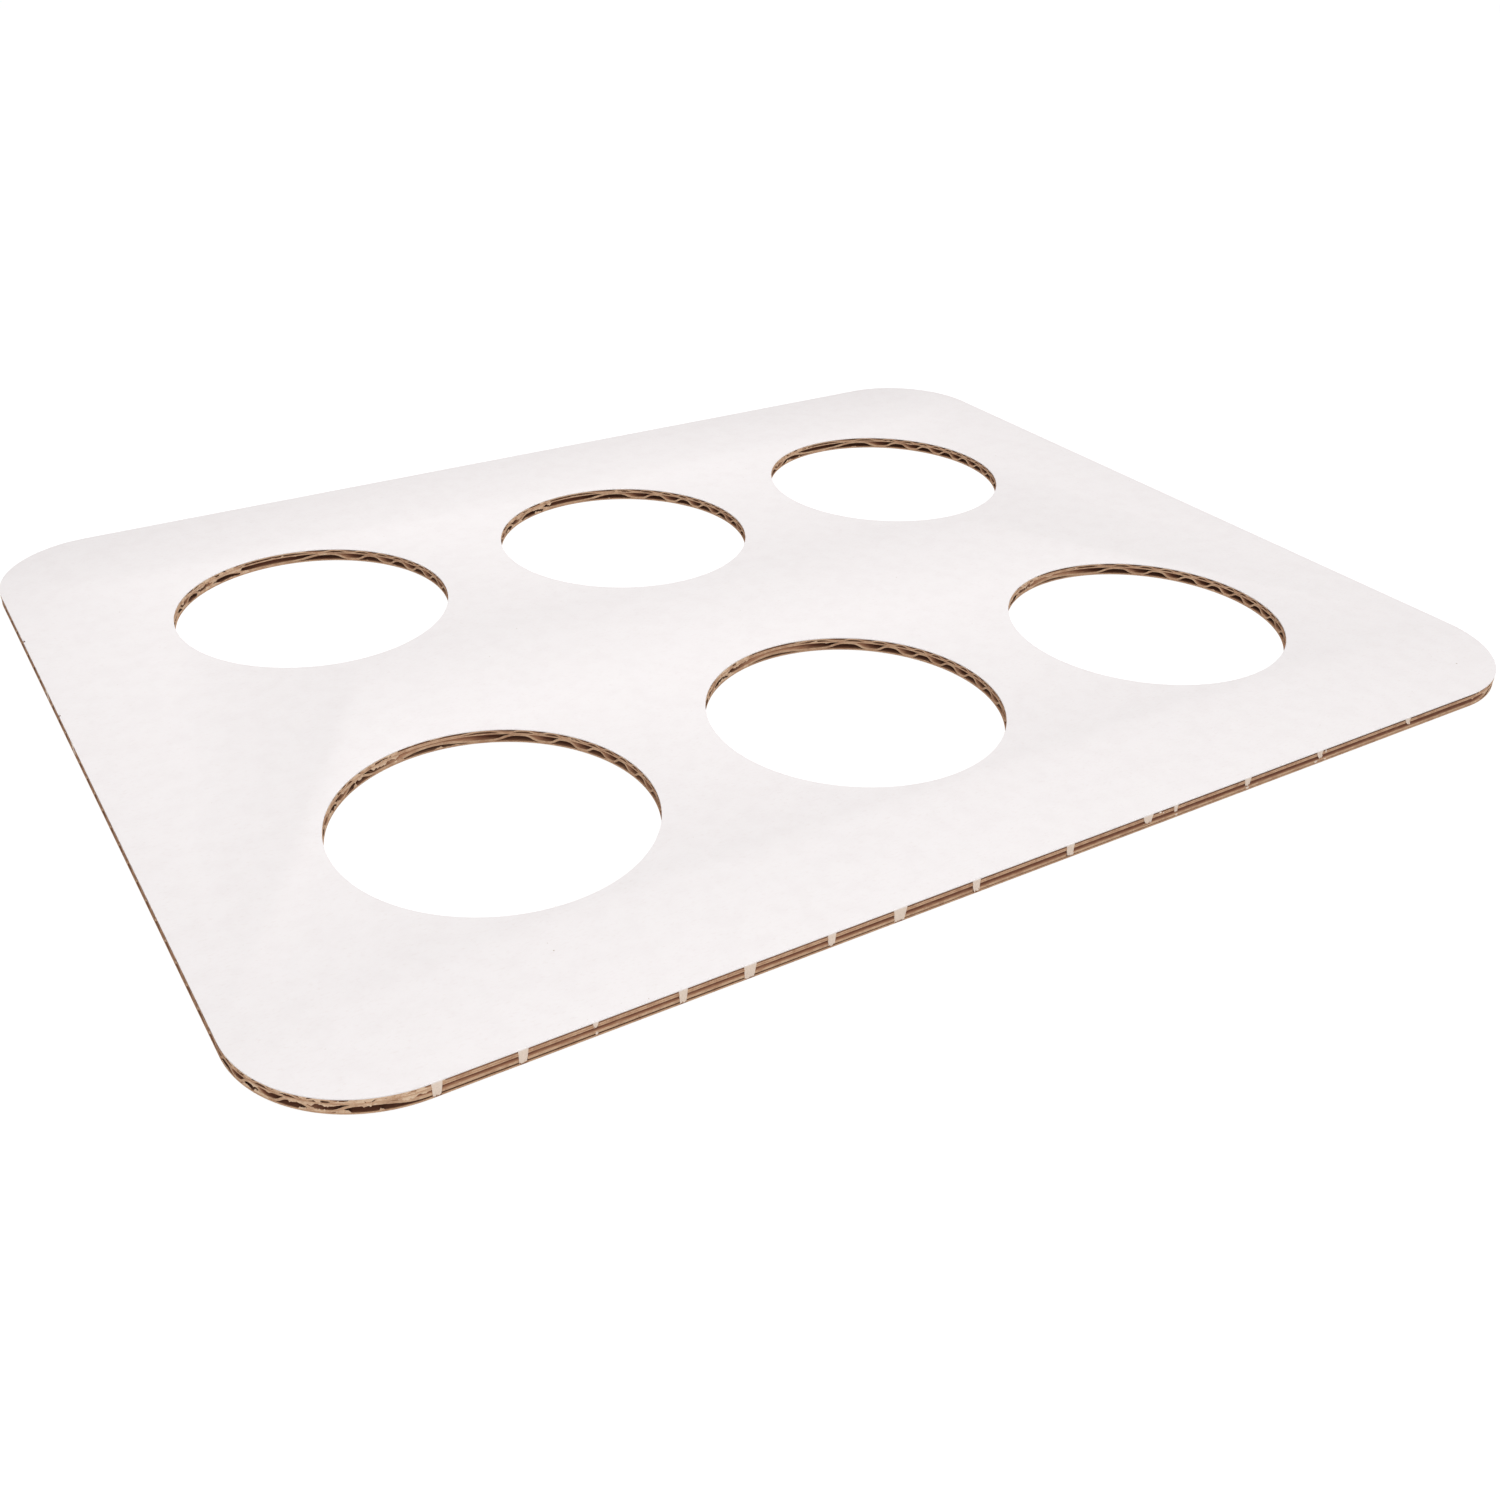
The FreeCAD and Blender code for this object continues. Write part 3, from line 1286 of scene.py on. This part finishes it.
@dataclass
class CrushedEdges:
    """Paper that the knife dragged over the openings of the flutes: low ragged flaps along the cuts.

    The stretches of a cup hole are measured from +X, counter-clockwise.
    """

    plan: SheetPlan
    stretches: tuple[Crush, ...] = (
        Crush(-90.0, 62.0, 9.0 * MM, (0.10 * MM, 0.45 * MM)),
        Crush(62.0, 100.0, 3.0 * MM, (0.10 * MM, 0.60 * MM)),
        Crush(100.0, 175.0, 0.5 * MM, (0.25 * MM, 1.20 * MM)),
        Crush(175.0, 270.0, 6.0 * MM, (0.10 * MM, 0.45 * MM)),
    )
    corner: Crush = Crush(0.0, 90.0, 0.7 * MM, (0.20 * MM, 1.10 * MM))
    length: Point = (0.8 * MM, 4.5 * MM)
    peak: Point = (0.5, 1.8)
    fullness: float = 0.7
    notches: Point = (0.45, 1.0)
    inset: float = 0.02 * MM
    gauge: float = 0.09 * MM
    root: float = 0.08 * MM
    step: float = 0.30 * MM
    least_steps: int = 4
    seed: int = 47

    def anchors(self) -> list[Point]:
        """The sides of the flat papers that flaps hang from or stand on.

        Returns:
            (height, way that the flap grows) for each.
        """
        bottom = span(Ply.BOTTOM_LINER)[1]
        low, high = span(Ply.MIDDLE_LINER)
        top = span(Ply.UPPER_FLUTING)[1]
        return [(bottom, 1.0), (low, -1.0), (high, 1.0), (top, -1.0)]

    def arcs(self) -> list[Arc]:
        """Every stretch of the round cuts.

        Returns:
            Those of the cup holes, then the corners.
        """
        plan = self.plan
        found = []
        for centre in plan.hole_centres:
            found += [Arc(centre, plan.hole_radius, -1.0, crush.start, crush) for crush in self.stretches]
        corners = plan.corners()
        return found + [Arc(centre, plan.corner_radius, 1.0, start, self.corner) for centre, start in corners]

    def flap(self, draw: random.Random, arc: Arc, anchor: Point, points: Points, faces: Faces) -> None:
        """Add one flap to a mesh.

        Args:
            draw: Source of random numbers.
            arc: The stretch that it lies on.
            anchor: The side that it hangs from or stands on.
            points: The mesh's points so far.
            faces: The mesh's faces so far.
        """
        crush = arc.crush
        level, way = anchor
        length = draw.uniform(*self.length)
        tall = draw.uniform(*crush.height)
        at = draw.uniform(0.0, math.radians(crush.end - crush.start))
        count = max(self.least_steps, round(length / self.step))
        depth = draw.uniform(self.inset, self.inset + self.gauge)
        peak = draw.uniform(*self.peak)
        start = len(points)
        for step in range(count + 1):
            share = step / count
            turn = math.radians(arc.start) + at + share * length / arc.radius
            swell = math.sin(math.pi * share ** peak) ** self.fullness
            rise = tall * swell * draw.uniform(*self.notches)
            for inset in (depth, depth + self.gauge):
                x, y = polar(arc.centre, arc.radius - arc.inwards * inset, turn)
                points.append((x, y, level - way * self.root))
                points.append((x, y, level + way * rise))
        for a in range(start, start + 4 * count, 4):
            faces.append((a, a + 4, a + 5, a + 1))
            faces.append((a + 2, a + 3, a + 7, a + 6))
            faces.append((a + 1, a + 5, a + 7, a + 3))
            faces.append((a, a + 2, a + 6, a + 4))
        last = start + 4 * count
        faces.append((start, start + 1, start + 3, start + 2))
        faces.append((last, last + 2, last + 3, last + 1))

    def build(self, papers: Papers) -> None:
        """Make the flaps and dress them.

        Args:
            papers: The shared materials.
        """
        draw = random.Random(self.seed)
        anchors = self.anchors()
        points: Points = []
        faces: Faces = []
        for arc in self.arcs():
            run = math.radians(arc.crush.end - arc.crush.start) * arc.radius
            for _ in range(round(run / arc.crush.spacing)):
                self.flap(draw, arc, draw.choice(anchors), points, faces)
        mesh = new_mesh("crushed_edges", points, faces)
        face_outwards(mesh)
        mesh.materials.append(papers.crushed)
        seat(new_piece("crushed_edges", mesh))


@dataclass
class LooseFibres:
    """Thin fibres that the knife pulled out round the cup holes."""

    plan: SheetPlan
    count: int = 60
    sides: int = 5
    steps: int = 6
    heights: tuple[float, ...] = (0.25 * MM, 2.35 * MM, 2.5 * MM, 3.5 * MM, 3.6 * MM)
    reach: Point = (0.35 * MM, 1.3 * MM)
    thickness: Point = (0.018 * MM, 0.040 * MM)
    thinning: float = 0.8
    sweep: Point = (-1.2, 1.2)
    droop: Point = (-0.25 * MM, 0.05 * MM)
    root: float = 0.2 * MM
    seed: int = 31

    def fibre(self, draw: random.Random, points: Points, faces: Faces) -> None:
        """Add one fibre to a mesh.

        Args:
            draw: Source of random numbers.
            points: The mesh's points so far.
            faces: The mesh's faces so far.
        """
        centre = draw.choice(self.plan.hole_centres)
        turn = draw.uniform(0.0, 2.0 * math.pi)
        height = draw.choice(self.heights)
        length = draw.uniform(*self.reach)
        thick = draw.uniform(*self.thickness)
        sweep = draw.uniform(*self.sweep)
        droop = draw.uniform(*self.droop)
        start = len(points)
        for step in range(self.steps + 1):
            share = step / self.steps
            radius = self.plan.hole_radius + self.root - (length + self.root) * share
            angle = turn + sweep * share * share * length / self.plan.hole_radius
            middle = Vector((*polar(centre, radius, angle), height + droop * share * share))
            tangent = Vector((-math.sin(angle), math.cos(angle), 0.0))
            width = thick * (1.0 - self.thinning * share)
            for side in range(self.sides):
                spin = 2.0 * math.pi * side / self.sides
                around = tangent * math.cos(spin) + Vector((0.0, 0.0, math.sin(spin)))
                points.append(tuple(middle + around * width))
        for step in range(self.steps):
            for side in range(self.sides):
                a = start + step * self.sides + side
                b = start + step * self.sides + (side + 1) % self.sides
                faces.append((a, b, b + self.sides, a + self.sides))
        last = start + self.steps * self.sides
        faces.append(tuple(range(start, start + self.sides))[::-1])
        faces.append(tuple(range(last, last + self.sides)))

    def build(self, papers: Papers) -> None:
        """Make the fibres and dress them.

        Args:
            papers: The shared materials.
        """
        draw = random.Random(self.seed)
        points: Points = []
        faces: Faces = []
        for _ in range(self.count):
            self.fibre(draw, points, faces)
        mesh = new_mesh("loose_fibres", points, faces)
        mesh.materials.append(papers.cut)
        seat(new_piece("loose_fibres", mesh))


# The studio


@dataclass(frozen=True)
class Lamp:
    """One soft square light that faces the middle of the sheet."""

    name: str
    watts: float
    size: float
    place: Place

    def build(self) -> None:
        """Hang the light in its place."""
        light = bpy.data.lights.new(self.name, "AREA")
        light.energy = self.watts
        light.size = self.size
        lamp = bpy.data.objects.new(self.name, light)
        bpy.context.scene.collection.objects.link(lamp)
        spot = Vector(self.place)
        turn = (-spot).to_track_quat("-Z", "Y").to_matrix().to_4x4()
        lamp.matrix_world = Matrix.Translation(spot) @ turn


@dataclass(frozen=True)
class Studio:
    """The table, the soft light and the surroundings."""

    floor_half: float = 6.0
    floor_drop: float = 0.15 * MM
    world_colour: Colour = (1.0, 0.985, 0.98)
    world_strength: float = 0.42
    backdrop: Colour = (1.0, 1.0, 1.0)
    lamps: tuple[Lamp, ...] = (
        Lamp("soft_box", 2.37, 0.5, (-0.02, 0.09, 0.67)),
        Lamp("left_fill", 6.6, 0.9, (-0.7, -1.0, 0.36)),
        Lamp("right_fill", 11.0, 0.9, (1.55, -0.6, 0.26)),
    )

    def table(self) -> None:
        """Put a wide white table under the sheet."""
        half = self.floor_half
        points = [(x * half, y * half, -self.floor_drop) for x, y in ((-1, -1), (1, -1), (1, 1), (-1, 1))]
        mesh = new_mesh("table", points, [(0, 1, 2, 3)])
        mesh.materials.append(FloorFinish().material())
        new_piece("table", mesh)

    def surroundings(self) -> None:
        """Give even light from all round, and white where the camera looks past the table."""
        world = bpy.data.worlds.new("surroundings")
        bpy.context.scene.world = world
        recipe = Recipe(world)
        seen = recipe.add("ShaderNodeLightPath").outputs["Is Camera Ray"]
        light = {"Color": (*self.world_colour, 1.0), "Strength": self.world_strength}
        even = recipe.add("ShaderNodeBackground", light)
        plain = recipe.add("ShaderNodeBackground", {"Color": (*self.backdrop, 1.0), "Strength": 1.0})
        inputs = {"Fac": seen, 1: even.outputs[0], 2: plain.outputs[0]}
        recipe.finish(recipe.add("ShaderNodeMixShader", inputs))

    def build(self) -> None:
        """Set up the table, the lights and the surroundings."""
        self.table()
        self.surroundings()
        for lamp in self.lamps:
            lamp.build()


@dataclass(frozen=True)
class Viewpoint:
    """The camera, at the photograph's viewing angle.

    The aim is the point of the white face that the camera turns about, measured from the middle
    of the hole grid. The image is taken to be 1500 pixels square.
    """

    image_pixels: float = 1500.0
    focal_pixels: float = 1570.9
    centre_column: float = 696.3
    azimuth: float = -30.879
    elevation: float = 31.313
    roll: float = 0.663
    distance: float = 379.81 * MM
    aim_x: float = -45.92 * MM
    aim_y: float = -60.49 * MM
    sensor: float = 36.0
    nearest: float = 0.01
    farthest: float = 50.0

    def build(self, plan: SheetPlan) -> None:
        """Place the camera.

        Args:
            plan: The sheet's outline.
        """
        azimuth, elevation, roll = (math.radians(a) for a in (self.azimuth, self.elevation, self.roll))
        level = math.cos(elevation)
        back = Vector((math.sin(azimuth) * level, -math.cos(azimuth) * level, math.sin(elevation)))
        right = Vector((0.0, 0.0, 1.0)).cross(back).normalized()
        up = back.cross(right)
        side = right * math.cos(roll) + up * math.sin(roll)
        head = up * math.cos(roll) - right * math.sin(roll)
        grid = np.mean(np.array(plan.hole_centres), axis=0)
        aim = Vector((grid[0] + self.aim_x, grid[1] + self.aim_y, span(Ply.TOP_LINER)[1]))
        camera_data = bpy.data.cameras.new("camera")
        camera_data.sensor_width = self.sensor
        camera_data.lens = self.focal_pixels / self.image_pixels * self.sensor
        camera_data.shift_x = (self.image_pixels / 2.0 - self.centre_column) / self.image_pixels
        camera_data.clip_start = self.nearest
        camera_data.clip_end = self.farthest
        camera = bpy.data.objects.new("camera", camera_data)
        bpy.context.scene.collection.objects.link(camera)
        turn = Matrix((side, head, back)).transposed().to_4x4()
        camera.matrix_world = Matrix.Translation(aim + back * self.distance) @ turn
        bpy.context.scene.camera = camera


def clear_scene() -> None:
    """Remove what a new scene starts with."""
    for thing in list(bpy.data.objects):
        bpy.data.objects.remove(thing)


def main() -> None:
    """Build the carrier round the frame, then the studio and the camera."""
    logging.basicConfig(level=logging.INFO, format="%(name)s %(message)s")
    clear_scene()
    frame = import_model()
    plan = SheetPlan.from_frame(frame["record"])
    papers = Papers(plan)
    nicks = Nicks(plan)
    board = nicks.board_pocket()
    liner = nicks.liner_pocket()
    swell = 0.06 * MM
    FlatLiner(plan, Ply.BOTTOM_LINER, Slot.KRAFT, board, swell_up=swell).build(papers)
    coarse = FlutedWeb(plan, Ply.LOWER_FLUTING, 7.93 * MM, 0.52 * MM, 2.72 * MM, board)
    coarse.build(papers)
    FlatLiner(plan, Ply.MIDDLE_LINER, Slot.KRAFT, board, swell_up=swell, swell_down=swell).build(papers)
    fine = FlutedWeb(plan, Ply.UPPER_FLUTING, 4.68 * MM, 0.40 * MM, 2.06 * MM, board, steps=12, seed=23)
    fine.build(papers)
    WhiteLiner(plan, Ply.TOP_LINER, Slot.WHITE, liner, nicks=nicks).build(papers)
    CrushedEdges(plan).build(papers)
    LooseFibres(plan).build(papers)
    for pocket in (board, liner):
        bpy.data.objects.remove(pocket)
    Studio().build()
    Viewpoint().build(plan)
    bpy.context.scene.view_settings.view_transform = "Standard"


if __name__ == "__main__":
    main()
